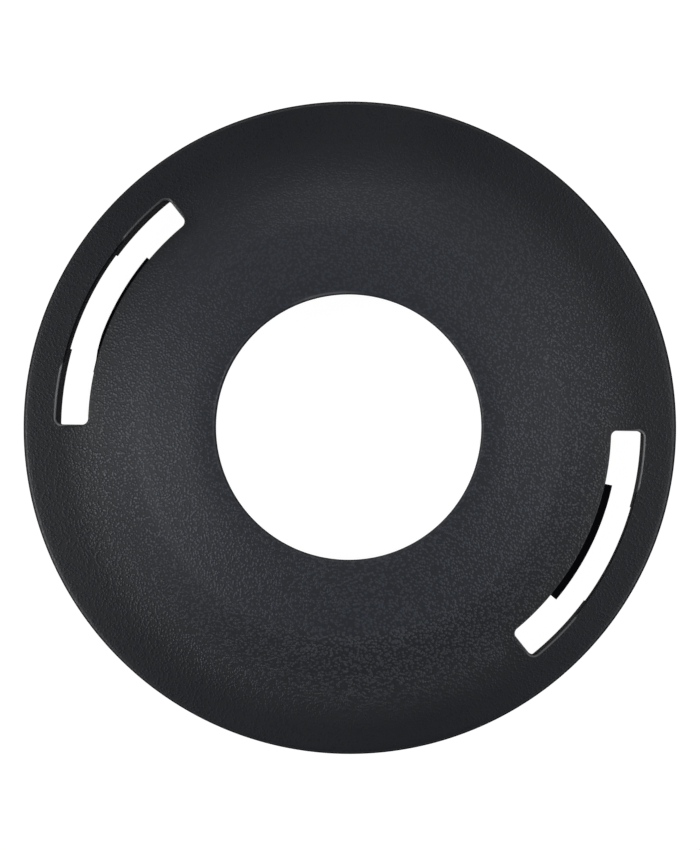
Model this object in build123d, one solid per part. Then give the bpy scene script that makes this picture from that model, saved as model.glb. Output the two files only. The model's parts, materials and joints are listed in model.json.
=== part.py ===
from build123d import *
import os
from math import radians, tan

# Trimmer head cap: the moulded lid of a bump-feed line head, in one piece.
# It lies on the lower edge of its spigot at z = 0, outer face up, with a latch slot on +X and on -X.
# All lengths are in millimetres and all angles in degrees.

# Disc
cap_diameter = 110.0
opening_diameter = 44.0      # the feed button passes through here
wall = 1.8
flange_height = 8.0          # flange's upper face above the spigot's lower edge

# Upper outline, from the opening out to the rim
crest_land = 1.0             # level ring beside the opening
crest_width = 4.0            # rounded crest outside that ring
inner_cone_angle = 10.0      # fall of the cone between crest and crease
outer_cone_angle = 16.0      # steeper fall outside the crease
outer_cone_width = 5.7
blend_width = 8.5            # hollow curve that brings the cone down to the flange
flange_width = 6.5           # flat ring between the hollow curve and the rim
crease_radius = 8.0
opening_edge_chamfer = 0.4
rim_edge_chamfer = 0.6

# Latch slots, one on each side
slot_count = 2
slot_angle = 50.9
slot_width = 5.5
slot_rim_width = 5.55        # flange left between a slot and the rim
slot_corner_radius = 1.05
slot_edge_chamfer = 0.4

# Spigot that enters the housing
spigot_wall = 2.0
spigot_edge_chamfer = 0.4

# Catches on the spigot, one below each slot
catch_angle = 27.6
catch_reach = 2.05
catch_height = 2.2           # catch's upper face above the spigot's lower edge
catch_nose = 0.6             # upright face at the tip of the catch
catch_ramp_height = 1.5      # lead-in below the nose

# Locating rib under the flange, lower where the latches pass
rib_wall = 1.5
rib_drop = 2.2
rib_gap_angle = 20.6
rib_gap_drop = 0.85          # what is left of the rib there

# Feed-stop lugs under the crown
lug_count = 8
lug_inset = 1.5              # from the opening's edge to the lugs
lug_length = 5.5
lug_width = 4.0
lug_drop = 2.4               # below the crown's underside at the opening
lug_edge_chamfer = 0.5

# Radii that follow from the sizes above
cap_radius = cap_diameter / 2
opening_radius = opening_diameter / 2
flange_start_radius = cap_radius - flange_width
cone_foot_radius = flange_start_radius - blend_width
crease_ring_radius = cone_foot_radius - outer_cone_width
crest_radius = opening_radius + crest_land
cone_top_radius = crest_radius + crest_width
slot_outer_radius = cap_radius - slot_rim_width
slot_inner_radius = slot_outer_radius - slot_width

# Heights of the upper outline, worked out from the flange up to the crest
cone_foot_height = flange_height + blend_width * tan(radians(outer_cone_angle / 2))
crease_height = cone_foot_height + outer_cone_width * tan(radians(outer_cone_angle))
cone_top_height = crease_height + (crease_ring_radius - cone_top_radius) * tan(radians(inner_cone_angle))
crest_height = cone_top_height + crest_width * tan(radians(inner_cone_angle / 2))

embed = wall / 2             # how far ribs, spigot and lugs run up into the wall


def point(radius, height):
    """Point of the half section that is revolved about Z."""
    return Vector(radius, 0, height)


def spread(shape, count):
    """Copies of a shape, evenly spaced about Z, the first one on +X."""
    return [Rot(0, 0, 360 / count * index) * shape for index in range(count)]


def solid_under(drop, curved=False):
    """All material below the upper outline, once that is lowered by drop, down to z = 0.

    The outer face is curved at the crest and at the foot of the cone. Inside, both runs are straight.
    """
    opening_edge = point(opening_radius, crest_height - drop)
    crest = point(crest_radius, crest_height - drop)
    cone_top = point(cone_top_radius, cone_top_height - drop)
    crease = point(crease_ring_radius, crease_height - drop)
    cone_foot = point(cone_foot_radius, cone_foot_height - drop)
    flange_start = point(flange_start_radius, flange_height - drop)
    rim = point(cap_radius, flange_height - drop)
    rim_foot = point(cap_radius, 0)
    opening_foot = point(opening_radius, 0)
    crest_run = Line(crest, cone_top)
    foot_run = Line(cone_foot, flange_start)
    if curved:
        crest_run = TangentArc(crest, cone_top, tangent=crest - opening_edge)
        foot_run = TangentArc(cone_foot, flange_start, tangent=cone_foot - crease)
    edges = [
        Line(opening_edge, crest),
        crest_run,
        Line(cone_top, crease),
        Line(crease, cone_foot),
        foot_run,
        Line(flange_start, rim),
        Line(rim, rim_foot),
        Line(rim_foot, opening_foot),
        Line(opening_foot, opening_edge),
    ]
    return revolve(make_face(edges), Axis.Z)


def ring(inner_radius, outer_radius, bottom, top):
    """Plain ring about Z between two heights."""
    section = make_face(Polyline(
        point(inner_radius, bottom), point(outer_radius, bottom),
        point(outer_radius, top), point(inner_radius, top), close=True))
    return revolve(section, Axis.Z)


def ring_edges(part, radius):
    """Circular edges of a part about Z that have the given radius."""
    circles = part.edges().filter_by(GeomType.CIRCLE)
    return circles.filter_by(lambda edge: abs(edge.radius - radius) < 1e-4)


def make_shell():
    """Crown and flange: a wall of even height below the upper outline, its upper edges broken."""
    outer = solid_under(0, curved=True)
    outer = fillet(ring_edges(outer, crease_ring_radius), crease_radius)
    shell = outer - solid_under(wall)
    shell = chamfer(ring_edges(shell, opening_radius).sort_by(Axis.Z)[-1], opening_edge_chamfer)
    return chamfer(ring_edges(shell, cap_radius).sort_by(Axis.Z)[-1], rim_edge_chamfer)


def sector(inner_radius, outer_radius, angle):
    """Flat piece of a ring, centred on +X."""
    inner = CenterArc((0, 0), inner_radius, -angle / 2, angle)
    outer = CenterArc((0, 0), outer_radius, -angle / 2, angle)
    return make_face([inner, Line(inner @ 1, outer @ 1), outer, Line(outer @ 0, inner @ 0)])


def cut_slots(shell):
    """Shell with its latch slots, their corners rounded and their upper edges broken."""
    outline = sector(slot_inner_radius, slot_outer_radius, slot_angle)
    outline = fillet(outline.vertices(), slot_corner_radius)
    cutter = extrude(outline, crest_height)
    for slot in spread(cutter, slot_count):
        before = shell.edges()
        shell = shell - slot
        fresh = [edge for edge in shell.edges() if edge not in before]
        upper = [edge for edge in fresh if edge.center().Z > flange_height - embed]
        shell = chamfer(upper, slot_edge_chamfer)
    return shell


def make_spigot():
    """Ring wall below the flange, flush with the slots' inner walls."""
    inner_radius = slot_inner_radius - spigot_wall
    spigot = ring(inner_radius, slot_inner_radius, 0, crest_height)
    return chamfer(ring_edges(spigot, inner_radius).sort_by(Axis.Z)[0], spigot_edge_chamfer)


def make_catches():
    """Hooks on the spigot that the housing's latches snap under, with a lead-in below."""
    root_radius = slot_inner_radius - spigot_wall / 2
    tip_radius = slot_inner_radius + catch_reach
    nose_foot = catch_height - catch_nose
    section = make_face(Polyline(
        point(root_radius, catch_height), point(tip_radius, catch_height),
        point(tip_radius, nose_foot), point(slot_inner_radius, nose_foot - catch_ramp_height),
        point(root_radius, nose_foot - catch_ramp_height), close=True))
    catch = Rot(0, 0, -catch_angle / 2) * revolve(section, Axis.Z, catch_angle)
    return spread(catch, slot_count)


def make_rib():
    """Low ring under the flange that centres the cap, cut back at the latches."""
    underside = flange_height - wall
    outer_radius = slot_outer_radius + rib_wall
    rib = ring(slot_outer_radius, outer_radius, underside - rib_drop, flange_height)
    gap = extrude(sector(slot_inner_radius, cap_radius, rib_gap_angle), underside - rib_gap_drop)
    for latch_gap in spread(gap, slot_count):
        rib = rib - latch_gap
    return rib


def make_lugs():
    """Feed-stop lugs round the opening, which the spool's teeth step past."""
    bottom = crest_height - wall - lug_drop
    outline = Rectangle(lug_length, lug_width)
    outline = chamfer(outline.vertices(), lug_edge_chamfer)
    middle_radius = opening_radius + lug_inset + lug_length / 2
    lug = Pos(middle_radius, 0, bottom) * extrude(outline, crest_height - bottom)
    return spread(lug, lug_count)


def make_head_cap():
    """The whole moulding as one solid."""
    cap = cut_slots(make_shell())
    envelope = solid_under(embed)
    for piece in [make_spigot(), make_rib(), *make_lugs()]:
        cap = cap + (piece & envelope)
    for catch in make_catches():
        cap = cap + catch
    return cap


os.makedirs("parts", exist_ok=True)
head_cap = make_head_cap()
head_cap.label = "head_cap"
export_step(head_cap, "parts/head_cap.step")
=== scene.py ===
import json
import logging
import math
from dataclasses import dataclass, field
from enum import Enum
from typing import NamedTuple, Sequence

import bmesh
import bpy
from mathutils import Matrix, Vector

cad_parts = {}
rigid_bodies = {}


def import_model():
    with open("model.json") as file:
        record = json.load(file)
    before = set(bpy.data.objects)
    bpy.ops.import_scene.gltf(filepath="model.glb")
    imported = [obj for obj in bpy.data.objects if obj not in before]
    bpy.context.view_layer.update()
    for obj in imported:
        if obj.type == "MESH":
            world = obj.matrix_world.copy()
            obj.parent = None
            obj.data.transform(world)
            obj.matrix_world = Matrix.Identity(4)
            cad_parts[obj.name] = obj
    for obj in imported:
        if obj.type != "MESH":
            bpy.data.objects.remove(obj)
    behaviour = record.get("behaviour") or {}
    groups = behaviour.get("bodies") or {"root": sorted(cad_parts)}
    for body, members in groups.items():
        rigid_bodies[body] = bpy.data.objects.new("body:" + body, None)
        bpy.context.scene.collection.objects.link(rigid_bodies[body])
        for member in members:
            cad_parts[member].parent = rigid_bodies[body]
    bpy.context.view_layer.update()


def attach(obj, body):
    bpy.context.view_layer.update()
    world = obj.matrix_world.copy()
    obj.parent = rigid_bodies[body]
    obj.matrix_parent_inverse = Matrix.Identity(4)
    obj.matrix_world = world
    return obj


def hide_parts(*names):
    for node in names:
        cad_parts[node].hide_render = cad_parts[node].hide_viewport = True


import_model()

# A trimmer head cap: one black moulding with a pebble grain on its outer face.
# Its axis is Z, its outer face is up and its latch slots are on +X and -X. All sizes are in metres.

MM = 0.001
LOG = logging.getLogger("head_cap")

Colour = tuple[float, float, float, float]
Outline = list[tuple[float, float]]
Span = tuple[float, float]


class Mark(Enum):
    """Vertex marks: strength of the grain, painted shade that darkens the plastic towards the rim and beside
    the slots, painted highlights on edges and painted shade on walls.
    """

    GRAIN = "grain"
    TONE = "tone"
    POLISH = "polish"
    SHADE = "shade"


class Corner(NamedTuple):
    """Corner of a half section: its radius, its height and how far it is rounded."""

    radius: float
    height: float
    rounding: float = 0.0


class EdgePoint(NamedTuple):
    """Point of a slot's outline in plan, the way out of the slot there and the upper edge's rounding."""

    place: Vector
    outward: Vector
    rounding: float


def rounded_loop(corners: Sequence[Corner], steps: int = 6) -> Outline:
    """Closed outline of a half section with its corners rounded.

    Args:
        corners: the corners in order.
        steps: pieces that each rounded corner is made of.

    Returns:
        The outline's points as radius and height.
    """
    places = [Vector((corner.radius, corner.height)) for corner in corners]
    outline: Outline = []
    for index, corner in enumerate(corners):
        here = places[index]
        if not corner.rounding:
            outline.append((here.x, here.y))
            continue
        back = (places[index - 1] - here).normalized()
        ahead = (places[(index + 1) % len(places)] - here).normalized()
        half = back.angle(ahead) / 2
        centre = here + (back + ahead).normalized() * (corner.rounding / math.sin(half))
        first = here + back * (corner.rounding / math.tan(half)) - centre
        last = here + ahead * (corner.rounding / math.tan(half)) - centre
        for step in range(steps + 1):
            spoke = first.lerp(last, step / steps).normalized() * corner.rounding
            outline.append((centre.x + spoke.x, centre.y + spoke.y))
    return outline


def share(value: float, start: float, end: float) -> float:
    """How far a value lies between two others.

    Args:
        value: the value.
        start: where the result is 0.
        end: where the result is 1.

    Returns:
        A number from 0 to 1.
    """
    return min(1.0, max(0.0, (value - start) / (end - start)))


def between(low: float, high: float, part: float) -> float:
    """Value that lies a part of the way from low to high."""
    return low + (high - low) * part


def turned(radius: float, angle: float, *height: float) -> Vector:
    """Point at a radius and an angle about Z, in plan or at a height."""
    return Vector((radius * math.cos(angle), radius * math.sin(angle), *height))


def spread_evenly(start: float, end: float, step: float) -> list[float]:
    """Values from start to end, evenly spaced and about a step apart.

    Args:
        start: the first value.
        end: the last value.
        step: the spacing aimed at.

    Returns:
        The values, both ends among them.
    """
    count = max(1, round(abs(end - start) / step))
    return [start + (end - start) * index / count for index in range(count + 1)]


def wall_faces(rows: int, count: int) -> list[tuple[int, ...]]:
    """Faces that join loops of points, each to the next one.

    Args:
        rows: rows of faces, one less than there are loops.
        count: points in each loop.

    Returns:
        The faces as vertex numbers.
    """
    faces: list[tuple[int, ...]] = []
    for row in range(rows):
        for column in range(count):
            low, beside = row * count + column, row * count + (column + 1) % count
            faces.append((low, beside, beside + count, low + count))
    return faces


def stacked_mesh(name: str, loops: Sequence[Sequence[Vector]]) -> bpy.types.Mesh:
    """Closed form through a stack of loops, its first and last loop filled and its faces pointing outwards.

    Args:
        name: the mesh's name.
        loops: the loops, all with the same number of points.

    Returns:
        The mesh.
    """
    count = len(loops[0])
    points = [point for loop in loops for point in loop]
    ends = [tuple(range(count)), tuple(range(len(points) - count, len(points)))]
    mesh = bpy.data.meshes.new(name)
    mesh.from_pydata(points, [], ends + wall_faces(len(loops) - 1, count))
    form = bmesh.new()
    form.from_mesh(mesh)
    bmesh.ops.recalc_face_normals(form, faces=form.faces)
    form.to_mesh(mesh)
    form.free()
    return mesh


def turned_piece(name: str, outline: Outline, half_angle: float, steps: int) -> bpy.types.Mesh:
    """Piece of a turned form, centred on +X, with flat ends.

    Args:
        name: the mesh's name.
        outline: its closed half section.
        half_angle: how far it runs to each side of +X.
        steps: pieces along its length.

    Returns:
        The mesh.
    """
    angles = spread_evenly(-half_angle, half_angle, 2 * half_angle / steps)
    return stacked_mesh(name, [[turned(radius, angle, z) for radius, z in outline] for angle in angles])


class NodePlan:
    """Adds nodes to a tree and joins their sockets."""

    def __init__(self, tree: bpy.types.NodeTree) -> None:
        """Starts with an existing tree."""
        self.tree = tree

    def add(self, kind: str, settings: dict[str, object], inputs: dict[str | int, object]) -> bpy.types.Node:
        """Adds a node and fills its inputs.

        Args:
            kind: the node's type.
            settings: the node's own options.
            inputs: for each socket a constant, a socket to join to it, or a list of sockets.

        Returns:
            The node.
        """
        node = self.tree.nodes.new(kind)
        for option, value in settings.items():
            setattr(node, option, value)
        for key, value in inputs.items():
            self.feed(node.inputs[key], value)
        return node

    def feed(self, socket: bpy.types.NodeSocket, value: object) -> None:
        """Joins sockets to an input, or sets its constant.

        Args:
            socket: the input.
            value: a constant, a socket or a list of sockets.
        """
        if isinstance(value, bpy.types.NodeSocket):
            self.tree.links.new(value, socket)
        elif isinstance(value, list):
            for source in value:
                self.tree.links.new(source, socket)
        else:
            socket.default_value = value

    def maths(self, operation: str, *values: object, clamp: bool = False) -> bpy.types.NodeSocket:
        """Result of a Math node.

        Args:
            operation: what the node does.
            values: its inputs, as constants or sockets.
            clamp: whether the result is kept between 0 and 1.

        Returns:
            The node's output.
        """
        settings = {"operation": operation, "use_clamp": clamp}
        return self.add("ShaderNodeMath", settings, dict(enumerate(values))).outputs[0]

    def blend(self, factor: object, low: object, high: object) -> bpy.types.NodeSocket:
        """Colour between two colours.

        Args:
            factor: 0 for the low colour and 1 for the high one.
            low: the first colour.
            high: the second colour.

        Returns:
            The colour output.
        """
        return self.add("ShaderNodeMix", {"data_type": "RGBA"}, {0: factor, 6: low, 7: high}).outputs[2]

    def mark(self, mark: Mark) -> bpy.types.NodeSocket:
        """Value of a vertex mark."""
        return self.add("ShaderNodeAttribute", {"attribute_name": mark.value}, {}).outputs["Fac"]

    def noise(self, place: bpy.types.NodeSocket, scale: float, detail: float) -> bpy.types.NodeSocket:
        """Value of a Noise texture."""
        inputs = {"Vector": place, "Scale": scale, "Detail": detail}
        return self.add("ShaderNodeTexNoise", {}, inputs).outputs["Fac"]


@dataclass(frozen=True)
class TurnedBody:
    """What is turned about Z in one half section: crown, flange, spigot and locating rib."""

    cap_radius: float = 55.0 * MM
    opening_radius: float = 22.0 * MM
    wall: float = 1.8 * MM
    flange_height: float = 8.0 * MM
    crest_radius: float = 23.0 * MM
    cone_top_radius: float = 27.0 * MM
    crease_ring_radius: float = 34.3 * MM
    cone_foot_radius: float = 40.0 * MM
    flange_start_radius: float = 48.5 * MM
    inner_cone_angle: float = math.radians(10.0)
    outer_cone_angle: float = math.radians(16.0)
    crease_half_width: float = 0.41 * MM
    opening_edge: float = 0.5 * MM
    rim_edge: float = 0.8 * MM
    under_edge: float = 0.25 * MM
    spigot_outer_radius: float = 43.93 * MM
    spigot_inner_radius: float = 41.95 * MM
    spigot_edge: float = 0.4 * MM
    rib_inner_radius: float = 49.47 * MM
    rib_outer_radius: float = 50.95 * MM
    rib_drop: float = 2.2 * MM
    spacing: float = 0.55 * MM
    segments: int = 384

    @property
    def crease_height(self) -> float:
        """Height of the outer face at the crease, before it is rounded."""
        hollow = (self.flange_start_radius - self.cone_foot_radius) * math.tan(self.outer_cone_angle / 2)
        cone = (self.cone_foot_radius - self.crease_ring_radius) * math.tan(self.outer_cone_angle)
        return self.flange_height + hollow + cone

    @property
    def crest_height(self) -> float:
        """Height of the level ring beside the opening."""
        cone = (self.crease_ring_radius - self.cone_top_radius) * math.tan(self.inner_cone_angle)
        crest = (self.cone_top_radius - self.crest_radius) * math.tan(self.inner_cone_angle / 2)
        return self.crease_height + cone + crest

    def height(self, radius: float) -> float:
        """Height of the outer face.

        Args:
            radius: distance from the axis.

        Returns:
            The height above the spigot's lower edge.
        """
        inner_slope = math.tan(self.inner_cone_angle)
        outer_slope = math.tan(self.outer_cone_angle)
        past = radius - self.crease_ring_radius
        if radius >= self.flange_start_radius:
            return self.flange_height
        if radius >= self.cone_foot_radius:
            hollow = (self.flange_start_radius - self.cone_foot_radius) / math.sin(self.outer_cone_angle)
            inset = self.flange_start_radius - radius
            return self.flange_height + hollow - math.sqrt(hollow ** 2 - inset ** 2)
        if past >= self.crease_half_width:
            return self.crease_height - past * outer_slope
        if past > -self.crease_half_width:
            bend = (outer_slope - inner_slope) / (4 * self.crease_half_width)
            return self.crease_height - past * inner_slope - bend * (past + self.crease_half_width) ** 2
        if radius >= self.cone_top_radius:
            return self.crease_height - past * inner_slope
        crest = (self.cone_top_radius - self.crest_radius) / math.sin(self.inner_cone_angle)
        run = max(0.0, radius - self.crest_radius)
        return self.crest_height - crest + math.sqrt(crest ** 2 - run ** 2)

    def outer_face(self) -> list[Corner]:
        """Row of points along the outer face, from the crest to the rim."""
        radii = spread_evenly(self.crest_radius, self.cap_radius - 2 * self.rim_edge, self.spacing)
        return [Corner(radius, self.height(radius)) for radius in radii]

    def underside(self, radius: float) -> float:
        """Height of the underside, which runs straight where the outer face is curved.

        Args:
            radius: distance from the axis, from the cone's foot to the flange.

        Returns:
            The height above the spigot's lower edge.
        """
        start, end = self.cone_foot_radius, self.flange_start_radius
        fall = self.height(start) - self.height(end)
        return self.height(start) - fall * share(radius, start, end) - self.wall

    def half_section(self) -> Outline:
        """Closed half section, outwards along the outer face and back below."""
        under = self.flange_height - self.wall
        rib_foot = under - self.rib_drop
        bends = (self.cone_foot_radius, self.crease_ring_radius, self.cone_top_radius, self.crest_radius)
        corners = [
            Corner(self.opening_radius, self.crest_height, self.opening_edge),
            *self.outer_face(),
            Corner(self.cap_radius, self.flange_height, self.rim_edge),
            Corner(self.cap_radius, under, self.under_edge),
            Corner(self.rib_outer_radius, under, self.under_edge),
            Corner(self.rib_outer_radius, rib_foot, self.under_edge),
            Corner(self.rib_inner_radius, rib_foot, self.under_edge),
            Corner(self.rib_inner_radius, under, self.under_edge),
            Corner(self.flange_start_radius, under),
            Corner(self.spigot_outer_radius, self.underside(self.spigot_outer_radius), self.spigot_edge),
            Corner(self.spigot_outer_radius, 0.0, self.under_edge),
            Corner(self.spigot_inner_radius, 0.0, self.spigot_edge),
            Corner(self.spigot_inner_radius, self.underside(self.spigot_inner_radius), self.spigot_edge),
            *(Corner(radius, self.height(radius) - self.wall) for radius in bends),
            Corner(self.opening_radius, self.crest_height - self.wall, self.under_edge),
        ]
        return rounded_loop(corners)

    def curve(self) -> bpy.types.Object:
        """The half section as a curve object, laid out as the turning needs it."""
        outline = self.half_section()
        curve = bpy.data.curves.new("half_section", "CURVE")
        spline = curve.splines.new("POLY")
        spline.points.add(len(outline) - 1)
        for point, (radius, height) in zip(spline.points, outline):
            point.co = (radius, -height, 0.0, 1.0)
        spline.use_cyclic_u = True
        return bpy.data.objects.new("half_section", curve)


@dataclass(frozen=True)
class LatchSlot:
    """Arc slot near the rim, with a softer upper edge beyond the catch than beside it."""

    inner_radius: float = 43.95 * MM
    outer_radius: float = 49.45 * MM
    half_angle: float = math.radians(25.45)
    corner_radius: float = 1.05 * MM
    end_edge: float = 0.45 * MM
    middle_edge: float = 0.16 * MM
    inner_edge: float = 0.25 * MM
    middle_half_angle: float = math.radians(13.8)
    edge_change: float = math.radians(0.8)
    edge_reach: float = math.radians(76.0)
    foot: float = 5.9 * MM
    head: float = 14.0 * MM
    steps: int = 96
    corner_steps: int = 8
    edge_steps: int = 6

    def arc(self, radius: float, end: float, way: int) -> list[EdgePoint]:
        """Points along one long side.

        Args:
            radius: the side's radius.
            end: angle at which the side meets its corners.
            way: 1 for the outer side, run from clockwise to counter-clockwise, and -1 for the inner one.

        Returns:
            The points in order.
        """
        row = []
        for angle in spread_evenly(-way * end, way * end, 2 * end / self.steps):
            spoke = turned(1.0, angle)
            outer = between(self.middle_edge, self.end_edge, self.softness(angle))
            row.append(EdgePoint(spoke * radius, spoke * way, outer if way > 0 else self.inner_edge))
        return row

    def softness(self, angle: float) -> float:
        """How soft the outer edge is at an angle: 0 beside the catch and 1 beyond it."""
        start = self.middle_half_angle - self.edge_change / 2
        return share(abs(angle), start, start + self.edge_change)

    def corner(self, radius: float, side: int, way: int) -> list[EdgePoint]:
        """Points round one corner.

        Args:
            radius: radius of the corner's centre.
            side: 1 for the counter-clockwise end, -1 for the clockwise one.
            way: 1 for an outer corner, -1 for an inner one.

        Returns:
            The points in order, counter-clockwise round the slot.
        """
        turn = side * (self.half_angle - math.asin(self.corner_radius / radius))
        centre = turned(1.0, turn) * radius
        end = side * self.half_angle
        along = turned(1.0, turn) * way
        across = Vector((-math.sin(end), math.cos(end))) * side
        first, last = (along, across) if side == way else (across, along)
        row = []
        for step in range(1, self.corner_steps):
            outward = first.lerp(last, step / self.corner_steps).normalized()
            edge = self.end_edge if way > 0 else self.inner_edge
            row.append(EdgePoint(centre + outward * self.corner_radius, outward, edge))
        return row

    def outline(self) -> list[EdgePoint]:
        """The slot's outline in plan, counter-clockwise."""
        outer_centre = self.outer_radius - self.corner_radius
        inner_centre = self.inner_radius + self.corner_radius
        outer_end = self.half_angle - math.asin(self.corner_radius / outer_centre)
        inner_end = self.half_angle - math.asin(self.corner_radius / inner_centre)
        return [
            *self.arc(self.outer_radius, outer_end, 1),
            *self.corner(outer_centre, 1, 1),
            *self.corner(inner_centre, 1, -1),
            *self.arc(self.inner_radius, inner_end, -1),
            *self.corner(inner_centre, -1, -1),
            *self.corner(outer_centre, -1, 1),
        ]

    def cutter(self, body: TurnedBody) -> bpy.types.Mesh:
        """Form that cuts the slot and rounds its upper edge.

        Args:
            body: the turned body, whose outer face the edge follows.

        Returns:
            The cutter's mesh.
        """
        outline = self.outline()
        loops = [[Vector((*edge.place, self.foot)) for edge in outline]]
        for step in range(self.edge_steps + 1):
            lean = self.edge_reach * step / self.edge_steps
            loop = []
            for edge in outline:
                top = body.height((edge.place + edge.outward * edge.rounding).length)
                place = edge.place + edge.outward * (edge.rounding * (1 - math.cos(lean)))
                loop.append(Vector((*place, top - edge.rounding * (1 - math.sin(lean)))))
            loops.append(loop)
        loops.append([Vector((point.x, point.y, self.head)) for point in loops[-1]])
        return stacked_mesh("latch_slot", loops)


@dataclass(frozen=True)
class Catch:
    """Hook on the spigot below a slot, with a lead-in under its nose."""

    root_radius: float = 42.9 * MM
    spigot_radius: float = 43.93 * MM
    tip_radius: float = 46.0 * MM
    half_angle: float = math.radians(13.8)
    top: float = 2.2 * MM
    nose: float = 0.6 * MM
    lead_in: float = 1.5 * MM
    edge: float = 0.15 * MM
    edge_steps: int = 4
    steps: int = 56
    worn_margin: float = 1.0 * MM
    worn: tuple[Span, ...] = (
        (math.radians(5.5), 0.0), (math.radians(9.0), 0.2 * MM),
        (math.radians(11.2), 0.44 * MM), (math.radians(14.8), 0.44 * MM),
    )

    def mesh(self) -> bpy.types.Mesh:
        """The hook, centred on +X."""
        nose_foot = self.top - self.nose
        corners = [
            Corner(self.root_radius, self.top),
            Corner(self.tip_radius, self.top, self.edge),
            Corner(self.tip_radius, nose_foot, self.edge),
            Corner(self.spigot_radius, nose_foot - self.lead_in),
            Corner(self.root_radius, nose_foot - self.lead_in),
        ]
        return turned_piece("catch", rounded_loop(corners, self.edge_steps), self.half_angle, self.steps)

    def worn_corner(self) -> bpy.types.Mesh:
        """Form that takes the worn corner off the tip of the catch on -X."""
        plan = [(self.tip_radius - depth, math.pi + angle) for angle, depth in self.worn]
        plan += [(self.tip_radius + self.worn_margin, math.pi + angle) for angle, _ in reversed(self.worn)]
        heights = (-self.worn_margin, self.top + self.worn_margin)
        loops = [[turned(radius, angle, z) for radius, angle in plan] for z in heights]
        return stacked_mesh("worn_corner", loops)


@dataclass(frozen=True)
class RibGap:
    """Lower part of the locating rib, where a latch passes."""

    inner_radius: float = 49.0 * MM
    outer_radius: float = 51.4 * MM
    half_angle: float = math.radians(10.3)
    foot: float = 3.5 * MM
    head: float = 5.35 * MM
    steps: int = 24

    def cutter(self) -> bpy.types.Mesh:
        """Form that cuts the opening, centred on +X."""
        outline = [(self.inner_radius, self.foot), (self.outer_radius, self.foot),
                   (self.outer_radius, self.head), (self.inner_radius, self.head)]
        return turned_piece("rib_gap", outline, self.half_angle, self.steps)


@dataclass(frozen=True)
class FeedLug:
    """Feed-stop lug under the crown."""

    middle_radius: float = 26.25 * MM
    length: float = 5.5 * MM
    width: float = 4.0 * MM
    foot: float = 8.27 * MM
    head: float = 11.3 * MM
    edge: float = 0.45 * MM
    edge_steps: int = 4

    def mesh(self) -> bpy.types.Mesh:
        """The lug with rounded edges, its middle on Z."""
        form = bmesh.new()
        bmesh.ops.create_cube(form, size=1.0)
        bmesh.ops.scale(form, vec=(self.length, self.width, self.head - self.foot), verts=form.verts)
        bmesh.ops.translate(form, vec=(0.0, 0.0, (self.head + self.foot) / 2), verts=form.verts)
        bmesh.ops.bevel(
            form, geom=form.edges[:], offset=self.edge, segments=self.edge_steps, profile=0.5, affect="EDGES")
        bmesh.ops.recalc_face_normals(form, faces=form.faces)
        mesh = bpy.data.meshes.new("feed_lug")
        form.to_mesh(mesh)
        form.free()
        return mesh


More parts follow.
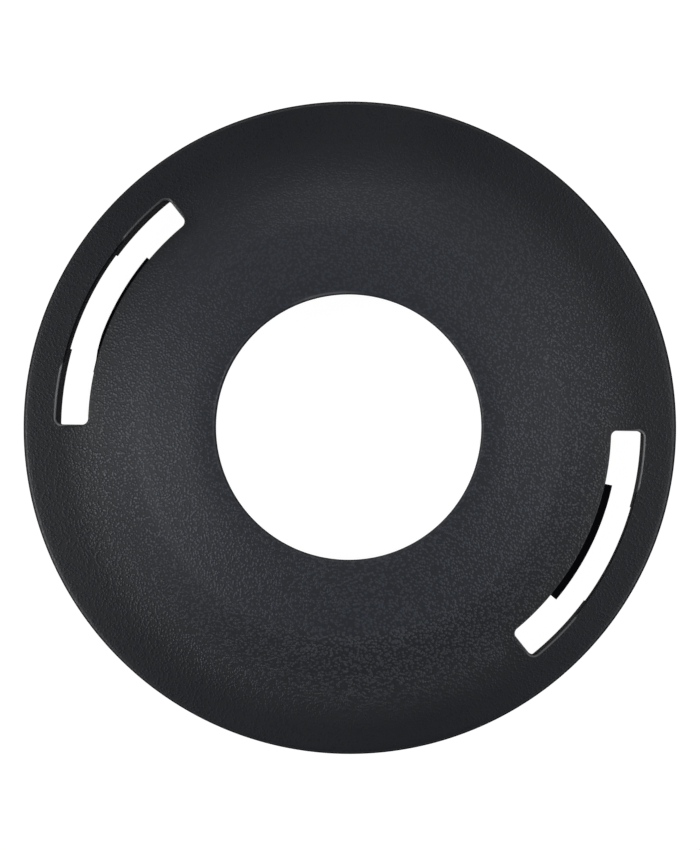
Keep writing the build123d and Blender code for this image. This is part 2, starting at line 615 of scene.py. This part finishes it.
@dataclass(frozen=True)
class PebblePlastic:
    """Black moulded plastic with a pebble grain that fades towards the rim."""

    name: str = "black_plastic"
    # Painted shade and light: the grooves are coloured darker and the pebble tops lighter
    shaded_groove_colour: Colour = (0.0092, 0.0110, 0.0161, 1.0)
    lit_pebble_colour: Colour = (0.0345, 0.0415, 0.0598, 1.0)
    plain_colour: Colour = (0.0176, 0.0212, 0.0308, 1.0)
    # Painted shade: near-black colour for walls in the slots, the catches, the rim's edge and the opening's
    # wall
    painted_shade_colour: Colour = (0.0080, 0.0085, 0.0110, 1.0)
    # Painted highlight: pale colour for the light caught on rounded edges
    highlight_colour: Colour = (0.3400, 0.3430, 0.3480, 1.0)
    speck_colour: Colour = (0.1100, 0.1120, 0.1150, 1.0)
    pebbles_per_metre: float = 2250.0
    pebble_edge: float = 0.60
    pebble_top: float = 0.22
    drifts_per_metre: float = 900.0
    drift_detail: float = 2.0
    drift_share: float = 0.30
    clouds_per_metre: float = 55.0
    cloud_detail: float = 4.0
    specks_per_metre: float = 260.0
    speck_size: float = 0.045
    speckless_share: float = 0.93
    fine_per_metre: float = 5200.0
    fine_detail: float = 2.0
    fine_share: float = 0.03
    grain_depth: float = 0.150 * MM
    plain_roughness: float = 0.34
    cloud_roughness: float = 0.12
    groove_roughness: float = 0.72
    shade_roughness: float = 0.75
    highlight_smoothing: float = 0.08
    plain_gloss: float = 0.54
    groove_dulling: float = 0.12
    shade_dulling: float = 0.52

    def material(self) -> bpy.types.Material:
        """The finish as a node material that reads Object coordinates and the moulding's vertex marks."""
        material = bpy.data.materials.new(self.name)
        material.use_nodes = True
        plan = NodePlan(material.node_tree)
        shader = material.node_tree.nodes["Principled BSDF"].inputs
        place = plan.add("ShaderNodeTexCoord", {}, {}).outputs["Object"]
        grain, tone, polish, shade = (plan.mark(mark) for mark in Mark)
        pebble = self.pebbles(plan, place)
        cloud = plan.noise(place, self.clouds_per_metre, self.cloud_detail)

        # Painted shade and light: grooves darker and pebble tops lighter, standing in for light on the
        # grain's relief
        skin = plan.blend(pebble, self.shaded_groove_colour, self.lit_pebble_colour)
        # Painted shade: the colour is scaled down towards the rim, and it is also darker beside the slots'
        # inner sides
        dimmed = plan.add("ShaderNodeVectorMath", {"operation": "SCALE"}, {
            0: plan.blend(grain, self.plain_colour, skin), "Scale": tone}).outputs["Vector"]
        # Painted shade: walls in the slots, the catches, the rim's edge and the opening's wall take a
        # near-black colour and lose their gloss
        base = plan.blend(shade, dimmed, self.painted_shade_colour)
        # Painted highlight: a pale colour on the slots' softer outer edges and on the opening's edge towards
        # one side
        base = plan.blend(plan.maths("MULTIPLY", polish, cloud), base, self.highlight_colour)
        plan.feed(shader["Base Color"], plan.blend(self.specks(plan, place), base, self.speck_colour))

        hollow = plan.maths("MULTIPLY", grain, plan.maths("SUBTRACT", 1.0, pebble))
        lowest = self.plain_roughness - self.cloud_roughness / 2
        rough = plan.maths("MULTIPLY_ADD", cloud, self.cloud_roughness, lowest)
        rough = plan.maths("MULTIPLY_ADD", hollow, self.groove_roughness - self.plain_roughness, rough)
        rough = plan.maths("MULTIPLY_ADD", shade, self.shade_roughness - self.plain_roughness, rough)
        smoothed = plan.maths("MULTIPLY", polish, self.highlight_smoothing)
        plan.feed(shader["Roughness"], plan.maths("SUBTRACT", rough, smoothed))
        gloss = plan.maths("MULTIPLY_ADD", hollow, -self.groove_dulling, self.plain_gloss)
        gloss = plan.maths("MULTIPLY_ADD", shade, -self.shade_dulling, gloss, clamp=True)
        plan.feed(shader["Specular IOR Level"], gloss)

        # The relief takes the square of the grain, so that it is gone sooner than the colour
        height = plan.maths("MULTIPLY", pebble, plan.maths("POWER", grain, 2.0))
        fine = plan.noise(place, self.fine_per_metre, self.fine_detail)
        relief = plan.maths("MULTIPLY_ADD", fine, self.fine_share, height)
        bump = plan.add("ShaderNodeBump", {}, {
            "Strength": 1.0, "Distance": self.grain_depth, "Height": relief}).outputs["Normal"]
        plan.feed(shader["Normal"], bump)
        return material

    def pebbles(self, plan: NodePlan, place: bpy.types.NodeSocket) -> bpy.types.NodeSocket:
        """Pebbles of uneven size.

        Args:
            plan: the material's nodes.
            place: the coordinates they lie in.

        Returns:
            1 on a pebble's top and 0 in the grooves.
        """
        drift = plan.noise(place, self.drifts_per_metre, self.drift_detail)
        cells = plan.add("ShaderNodeTexVoronoi", {"feature": "F1"}, {
            "Vector": place, "Scale": self.pebbles_per_metre}).outputs["Distance"]
        centred = plan.maths("SUBTRACT", cells, self.drift_share / 2)
        spacing = plan.maths("MULTIPLY_ADD", drift, self.drift_share, centred)
        return plan.add("ShaderNodeMapRange", {"interpolation_type": "SMOOTHSTEP"}, {
            "Value": spacing, "From Min": self.pebble_edge, "From Max": self.pebble_top}).outputs["Result"]

    def specks(self, plan: NodePlan, place: bpy.types.NodeSocket) -> bpy.types.NodeSocket:
        """Few and small specks of dust.

        Args:
            plan: the material's nodes.
            place: the coordinates they lie in.

        Returns:
            1 on a speck and 0 elsewhere.
        """
        dust = plan.add("ShaderNodeTexVoronoi", {}, {
            "Vector": place, "Scale": self.specks_per_metre}).outputs
        near = plan.maths("LESS_THAN", dust["Distance"], self.speck_size)
        chance = plan.add("ShaderNodeSeparateColor", {}, {0: dust["Color"]}).outputs[0]
        return plan.maths("MULTIPLY", near, plan.maths("GREATER_THAN", chance, self.speckless_share))


@dataclass
class HeadCap:
    """The whole moulding: the turned body with its slots, rib gaps, catches and lugs."""

    body: TurnedBody = field(default_factory=TurnedBody)
    slot: LatchSlot = field(default_factory=LatchSlot)
    catch: Catch = field(default_factory=Catch)
    gap: RibGap = field(default_factory=RibGap)
    lug: FeedLug = field(default_factory=FeedLug)
    finish: PebblePlastic = field(default_factory=PebblePlastic)
    latch_count: int = 2
    lug_count: int = 8
    axis_radius: float = 1e-7
    sharp_angle: float = math.radians(34.0)
    grain_depth: float = 0.35 * MM
    crown_grain: float = 0.54
    cone_grain: float = 0.71
    rim_grain: float = 0.42
    crown_radius: float = 34.0 * MM
    cone_radius: float = 36.5 * MM
    grain_full_radius: float = 41.0 * MM
    grain_fade_radius: float = 51.0 * MM
    # Painted shade: from the first radius to the second the plastic's colour falls off to the rim share
    falloff_start_radius: float = 34.0 * MM
    falloff_end_radius: float = 48.5 * MM
    rim_painted_falloff: float = 0.40
    slot_border: float = 3.2 * MM
    border_grain: float = 0.72
    border_dimming: float = 0.55
    # Azimuth where the painted highlight on the opening's edge lies and towards which the grain's contrast is
    # weakened
    lit_turn: float = math.radians(126.0)
    highlight_half_turns: Span = (math.radians(6.0), math.radians(18.0))
    highlight_full_depth: float = 0.03 * MM
    highlight_fade_depth: float = 0.18 * MM
    highlight_end_depth: float = 0.34 * MM
    opening_highlight: float = 0.5
    weak_highlight: float = 0.5
    # Painted light: how far the grain's contrast leans by azimuth on the crown and on the cone
    crown_light_lean: float = 0.12
    cone_light_lean: float = 0.46
    # Depths below the upper face over which painted shade comes in, at the rim, the opening and the slots
    rim_shade_depths: Span = (0.03 * MM, 0.20 * MM)
    opening_shade_depths: Span = (0.10 * MM, 0.35 * MM)
    slot_middle_shade_depths: Span = (0.01 * MM, 0.08 * MM)
    slot_end_shade_depths: Span = (0.20 * MM, 0.45 * MM)
    slot_margin: float = 0.5 * MM
    spigot_margin: float = 0.1 * MM
    spigot_depth: float = 2.5 * MM

    def tree(self) -> bpy.types.GeometryNodeTree:
        """Node tree that turns the half section, cuts slots and rib gaps and joins catches and lugs."""
        tree = bpy.data.node_groups.new("turned_moulding", "GeometryNodeTree")
        kinds = {
            "Geometry": "NodeSocketGeometry",
            "Turning Segments": "NodeSocketInt",
            "Latch Count": "NodeSocketInt",
            "Lug Count": "NodeSocketInt",
            "Lug Radius": "NodeSocketFloat",
            "Latch Slot": "NodeSocketObject",
            "Rib Gap": "NodeSocketObject",
            "Catch": "NodeSocketObject",
            "Worn Corner": "NodeSocketObject",
            "Feed Lug": "NodeSocketObject",
            "Finish": "NodeSocketMaterial",
        }
        for name, kind in kinds.items():
            tree.interface.new_socket(name, in_out="INPUT", socket_type=kind)
        tree.interface.new_socket("Geometry", in_out="OUTPUT", socket_type="NodeSocketGeometry")
        plan = NodePlan(tree)
        given = plan.add("NodeGroupInput", {}, {}).outputs
        axis = plan.add("GeometryNodeCurvePrimitiveCircle", {}, {
            "Resolution": given["Turning Segments"], "Radius": self.axis_radius}).outputs["Curve"]
        turned_body = plan.add("GeometryNodeCurveToMesh", {}, {
            "Curve": axis, "Profile Curve": given["Geometry"]}).outputs["Mesh"]

        def tool(name: str) -> bpy.types.NodeSocket:
            """Mesh of the object given under a name."""
            return plan.add("GeometryNodeObjectInfo", {}, {"Object": given[name]}).outputs["Geometry"]

        def ring(shape: bpy.types.NodeSocket, count: bpy.types.NodeSocket) -> bpy.types.NodeSocket:
            """Copies of a shape, evenly spaced about Z."""
            points = plan.add("GeometryNodeMeshLine", {}, {
                "Count": count, "Offset": (0.0, 0.0, 0.0)}).outputs["Mesh"]
            index = plan.add("GeometryNodeInputIndex", {}, {}).outputs["Index"]
            turn = plan.maths("MULTIPLY", index, plan.maths("DIVIDE", math.tau, count))
            spin = plan.add("ShaderNodeCombineXYZ", {}, {"Z": turn}).outputs["Vector"]
            copies = plan.add("GeometryNodeInstanceOnPoints", {}, {
                "Points": points, "Instance": shape, "Rotation": spin}).outputs["Instances"]
            return plan.add("GeometryNodeRealizeInstances", {}, {"Geometry": copies}).outputs["Geometry"]

        def boolean(operation: str, inputs: dict[str, object]) -> bpy.types.NodeSocket:
            """Mesh that a boolean leaves."""
            settings = {"solver": "MANIFOLD", "operation": operation}
            return plan.add("GeometryNodeMeshBoolean", settings, inputs).outputs["Mesh"]

        outset = plan.add("ShaderNodeCombineXYZ", {}, {"X": given["Lug Radius"]}).outputs["Vector"]
        lug = plan.add("GeometryNodeTransform", {}, {
            "Geometry": tool("Feed Lug"), "Translation": outset}).outputs["Geometry"]
        slots = ring(tool("Latch Slot"), given["Latch Count"])
        gaps = ring(tool("Rib Gap"), given["Latch Count"])
        cut = boolean("DIFFERENCE", {"Mesh 1": turned_body, "Mesh 2": [slots, gaps]})
        hooks = ring(tool("Catch"), given["Latch Count"])
        catches = boolean("DIFFERENCE", {"Mesh 1": hooks, "Mesh 2": [tool("Worn Corner")]})
        whole = boolean("UNION", {"Mesh 2": [cut, catches, ring(lug, given["Lug Count"])]})
        plain = plan.add("GeometryNodeRealizeInstances", {}, {"Geometry": whole}).outputs["Geometry"]
        dressed = plan.add("GeometryNodeSetMaterial", {}, {
            "Geometry": plain, "Material": given["Finish"]}).outputs["Geometry"]
        plan.add("NodeGroupOutput", {}, {"Geometry": dressed})
        return tree

    def build(self) -> bpy.types.Object:
        """Makes the moulding's mesh with the node tree.

        Returns:
            The finished piece, a plain mesh object at the origin.
        """
        scene = bpy.context.scene.collection.objects
        source = self.body.curve()
        scene.link(source)
        meshes = {
            "Latch Slot": self.slot.cutter(self.body),
            "Rib Gap": self.gap.cutter(),
            "Catch": self.catch.mesh(),
            "Worn Corner": self.catch.worn_corner(),
            "Feed Lug": self.lug.mesh(),
        }
        tools = {name: bpy.data.objects.new(mesh.name, mesh) for name, mesh in meshes.items()}
        material = self.finish.material()
        values = {
            "Turning Segments": self.body.segments,
            "Latch Count": self.latch_count,
            "Lug Count": self.lug_count,
            "Lug Radius": self.lug.middle_radius,
            "Finish": material,
            **tools,
        }
        modifier = source.modifiers.new("moulding", "NODES")
        modifier.node_group = self.tree()
        for item in modifier.node_group.interface.items_tree:
            if item.in_out == "INPUT" and item.name in values:
                modifier[item.identifier] = values[item.name]
        mesh = bpy.data.meshes.new_from_object(source.evaluated_get(bpy.context.evaluated_depsgraph_get()))
        source.modifiers.remove(modifier)
        for helper in [source, *tools.values()]:
            bpy.data.objects.remove(helper)
        self.dress(mesh, material)
        piece = bpy.data.objects.new("cap_moulding", mesh)
        scene.link(piece)
        return piece

    def dress(self, mesh: bpy.types.Mesh, material: bpy.types.Material) -> None:
        """Gives the mesh its finish, its vertex marks and its smooth faces.

        Args:
            mesh: the moulding's mesh.
            material: its finish.
        """
        mesh.name = "cap_moulding"
        mesh.materials.clear()
        mesh.materials.append(material)
        mesh.shade_smooth()
        mesh.set_sharp_from_angle(angle=self.sharp_angle)
        marks = [self.marks_at(vertex.co) for vertex in mesh.vertices]
        for mark in Mark:
            layer = mesh.attributes.new(mark.value, "FLOAT", "POINT")
            layer.data.foreach_set("value", [values[mark] for values in marks])

    def marks_at(self, place: Vector) -> dict[Mark, float]:
        """Marks of a point on the moulding.

        Args:
            place: the point.

        Returns:
            The value of each mark.
        """
        radius = math.hypot(place.x, place.y)
        depth = max(0.0, self.body.height(radius) - place.z)
        rise = share(radius, self.crown_radius, self.cone_radius)
        fade = share(radius, self.grain_full_radius, self.grain_fade_radius)
        # Painted shade: the plastic darkens from the crease out to the rim; it is also darker beside the
        # slots' inner sides
        falloff_share = share(radius, self.falloff_start_radius, self.falloff_end_radius)
        border = self.slot_nearness(place, radius)
        way = math.atan2(place.y, place.x) - self.lit_turn
        # Painted light: the grain's contrast is weaker towards one azimuth and stronger opposite, as the
        # light falls across the cap
        light_lean = between(self.crown_light_lean, self.cone_light_lean, rise) * (1.0 - fade) * math.cos(way)
        grain = between(self.crown_grain, self.cone_grain, rise) * (1.0 - light_lean)
        grain *= between(1.0, self.rim_grain, fade) * between(1.0, self.border_grain, border)
        highlight, shaded = self.edge_highlight_and_shade(place, radius, depth)
        highlight *= share(depth, 0.0, self.highlight_full_depth)
        highlight *= 1.0 - share(depth, self.highlight_fade_depth, self.highlight_end_depth)
        return {
            Mark.GRAIN: grain * (1.0 - share(depth, 0.0, self.grain_depth)),
            Mark.TONE: between(1.0, self.rim_painted_falloff, falloff_share) * between(1.0, self.border_dimming, border),
            Mark.POLISH: highlight,
            Mark.SHADE: shaded,
        }

    def slot_nearness(self, place: Vector, radius: float) -> float:
        """How near a point lies to the inner side of a slot.

        Args:
            place: a point on the moulding.
            radius: its distance from the axis.

        Returns:
            1 at the slot and 0 beyond its border.
        """
        past_end = (math.atan2(abs(place.y), abs(place.x)) - self.slot.half_angle) * radius
        inside = share(radius, self.slot.inner_radius - self.slot_border, self.slot.inner_radius)
        outside = share(radius, self.slot.inner_radius, self.slot.outer_radius)
        return inside * (1.0 - outside) * (1.0 - share(past_end, 0.0, self.slot_border))

    def edge_highlight_and_shade(self, place: Vector, radius: float, depth: float) -> tuple[float, float]:
        """How much painted highlight the nearest edge gets, and how much painted shade darkens the wall below
        it.

        Args:
            place: a point on the moulding.
            radius: its distance from the axis.
            depth: how far it lies below the upper face.

        Returns:
            Both values, from 0 to 1.
        """
        turn = math.atan2(abs(place.y), abs(place.x))
        inner, outer = self.slot.inner_radius, self.slot.outer_radius
        if radius > self.body.cap_radius - 2 * self.body.rim_edge:
            return 0.0, share(depth, *self.rim_shade_depths)
        if radius < self.body.crest_radius:
            way = math.atan2(place.y, place.x) - self.lit_turn
            highlight = self.opening_highlight * (1.0 - share(abs(way), *self.highlight_half_turns))
            return highlight, share(depth, *self.opening_shade_depths)
        within = inner - self.slot_margin < radius < outer + self.slot_margin
        if not within or turn > self.slot.half_angle + self.slot_margin / inner:
            return 0.0, 0.0
        on_spigot = radius < inner + self.spigot_margin and depth > self.spigot_depth
        if on_spigot and turn > self.catch.half_angle:
            return 0.0, 0.0
        soft = self.slot.softness(turn)
        # Painted highlight: one end of each slot gets a stronger highlight than the other
        side = 1.0 if place.x * place.y > 0.0 else self.weak_highlight
        start, end = (between(*depths, soft) for depths in zip(self.slot_middle_shade_depths, self.slot_end_shade_depths))
        return side * soft * share(radius, inner, outer), share(depth, start, end)


@dataclass(frozen=True)
class PhotoCamera:
    """Camera straight above the cap, a little to the side of its axis."""

    nadir: Span = (14.0 * MM, 0.0)
    height: float = 237.4 * MM
    roll: float = math.radians(26.1)
    lens: float = 57.815
    shift: Span = (-0.0876, 0.0462)
    clip_start: float = 0.01

    def build(self) -> None:
        """Adds the camera and makes it the scene's own."""
        data = bpy.data.cameras.new("camera")
        data.lens = self.lens
        data.shift_x, data.shift_y = self.shift
        data.clip_start = self.clip_start
        camera = bpy.data.objects.new("camera", data)
        camera.location = (*self.nadir, self.height)
        camera.rotation_euler = (0.0, 0.0, self.roll)
        bpy.context.scene.collection.objects.link(camera)
        bpy.context.scene.camera = camera


@dataclass(frozen=True)
class SoftLight:
    """Round soft light aimed at the cap.

    Its azimuth is in degrees, counter-clockwise from the picture's right, and its tilt in degrees from
    straight above.
    """

    name: str
    azimuth: float
    tilt: float
    size: float
    power: float
    distance: float = 0.75

    def build(self, roll: float) -> None:
        """Adds the light.

        Args:
            roll: how far the picture is turned against the cap's axes.
        """
        data = bpy.data.lights.new(self.name, "AREA")
        data.shape = "DISK"
        data.size = self.size
        data.energy = self.power
        turn = math.radians(self.azimuth) + roll
        lean = math.radians(self.tilt)
        way = turned(math.sin(lean), turn, math.cos(lean))
        light = bpy.data.objects.new(self.name, data)
        light.location = way * self.distance
        light.rotation_euler = way.to_track_quat("Z", "Y").to_euler()
        bpy.context.scene.collection.objects.link(light)


@dataclass(frozen=True)
class Studio:
    """White floor, even surrounding light and soft lights."""

    tray: Sequence[Span] = ((1.80, 0.0), (2.08, 0.03), (2.26, 0.11), (2.36, 0.24), (2.40, 0.48))
    tray_segments: int = 72
    glow: float = 0.98
    veil_colour: Colour = (0.09, 0.09, 0.09, 1.0)
    pale_colour: Colour = (0.8, 0.8, 0.8, 1.0)
    surround: float = 0.05
    surround_colour: Colour = (0.94, 0.97, 1.0, 1.0)
    lights: tuple[SoftLight, ...] = (
        SoftLight("light_left", 186.0, 44.5, 0.36, 1.62),
        SoftLight("light_right", 8.0, 42.0, 0.66, 1.74),
        SoftLight("light_far", 94.0, 66.0, 0.66, 1.42),
        SoftLight("light_near_left", 204.0, 71.0, 0.30, 1.66),
        SoftLight("light_near_right", 336.0, 71.0, 0.34, 1.62),
    )

    def floor_material(self) -> bpy.types.Material:
        """White to the eye and in reflections, with a faint shadow, and pale to all other light."""
        material = bpy.data.materials.new("floor")
        material.use_nodes = True
        material.node_tree.nodes.clear()
        plan = NodePlan(material.node_tree)
        path = plan.add("ShaderNodeLightPath", {}, {}).outputs
        seen = plan.maths("MAXIMUM", path["Is Camera Ray"], plan.maths(
            "MAXIMUM", path["Is Glossy Ray"], path["Is Transmission Ray"]))
        glow = plan.add("ShaderNodeEmission", {}, {"Strength": self.glow}).outputs[0]
        veil = plan.add("ShaderNodeBsdfDiffuse", {}, {"Color": self.veil_colour}).outputs[0]
        bright = plan.add("ShaderNodeAddShader", {}, {0: glow, 1: veil}).outputs[0]
        pale = plan.add("ShaderNodeBsdfDiffuse", {}, {"Color": self.pale_colour}).outputs[0]
        mixed = plan.add("ShaderNodeMixShader", {}, {0: seen, 1: pale, 2: bright}).outputs[0]
        plan.add("ShaderNodeOutputMaterial", {}, {"Surface": mixed})
        return material

    def build(self, roll: float) -> None:
        """Adds the floor with its raised edge, the surrounding light and the soft lights.

        Args:
            roll: how far the picture is turned against the cap's axes.
        """
        turns = [math.tau * step / self.tray_segments for step in range(self.tray_segments)]
        points = [turned(radius, turn, z) for radius, z in self.tray for turn in turns]
        walls = wall_faces(len(self.tray) - 1, self.tray_segments)
        mesh = bpy.data.meshes.new("floor")
        mesh.from_pydata(points, [], [tuple(range(self.tray_segments)), *(face[::-1] for face in walls)])
        mesh.materials.append(self.floor_material())
        floor = bpy.data.objects.new("floor", mesh)
        bpy.context.scene.collection.objects.link(floor)
        world = bpy.data.worlds.new("surround")
        world.use_nodes = True
        backdrop = world.node_tree.nodes["Background"]
        backdrop.inputs["Color"].default_value = self.surround_colour
        backdrop.inputs["Strength"].default_value = self.surround
        bpy.context.scene.world = world
        for light in self.lights:
            light.build(roll)


def main() -> None:
    """Builds the camera, the cap and the studio in order."""
    logging.basicConfig(level=logging.INFO, format="%(message)s")
    camera = PhotoCamera()
    camera.build()
    piece = HeadCap().build()
    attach(piece, "root")
    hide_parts("head_cap")
    LOG.info("%s: %d vertices, %d faces", piece.name, len(piece.data.vertices), len(piece.data.polygons))
    studio = Studio()
    studio.build(camera.roll)
    LOG.info("studio: floor and %d lights", len(studio.lights))
    bpy.context.scene.view_settings.view_transform = "Standard"


if __name__ == "__main__":
    main()
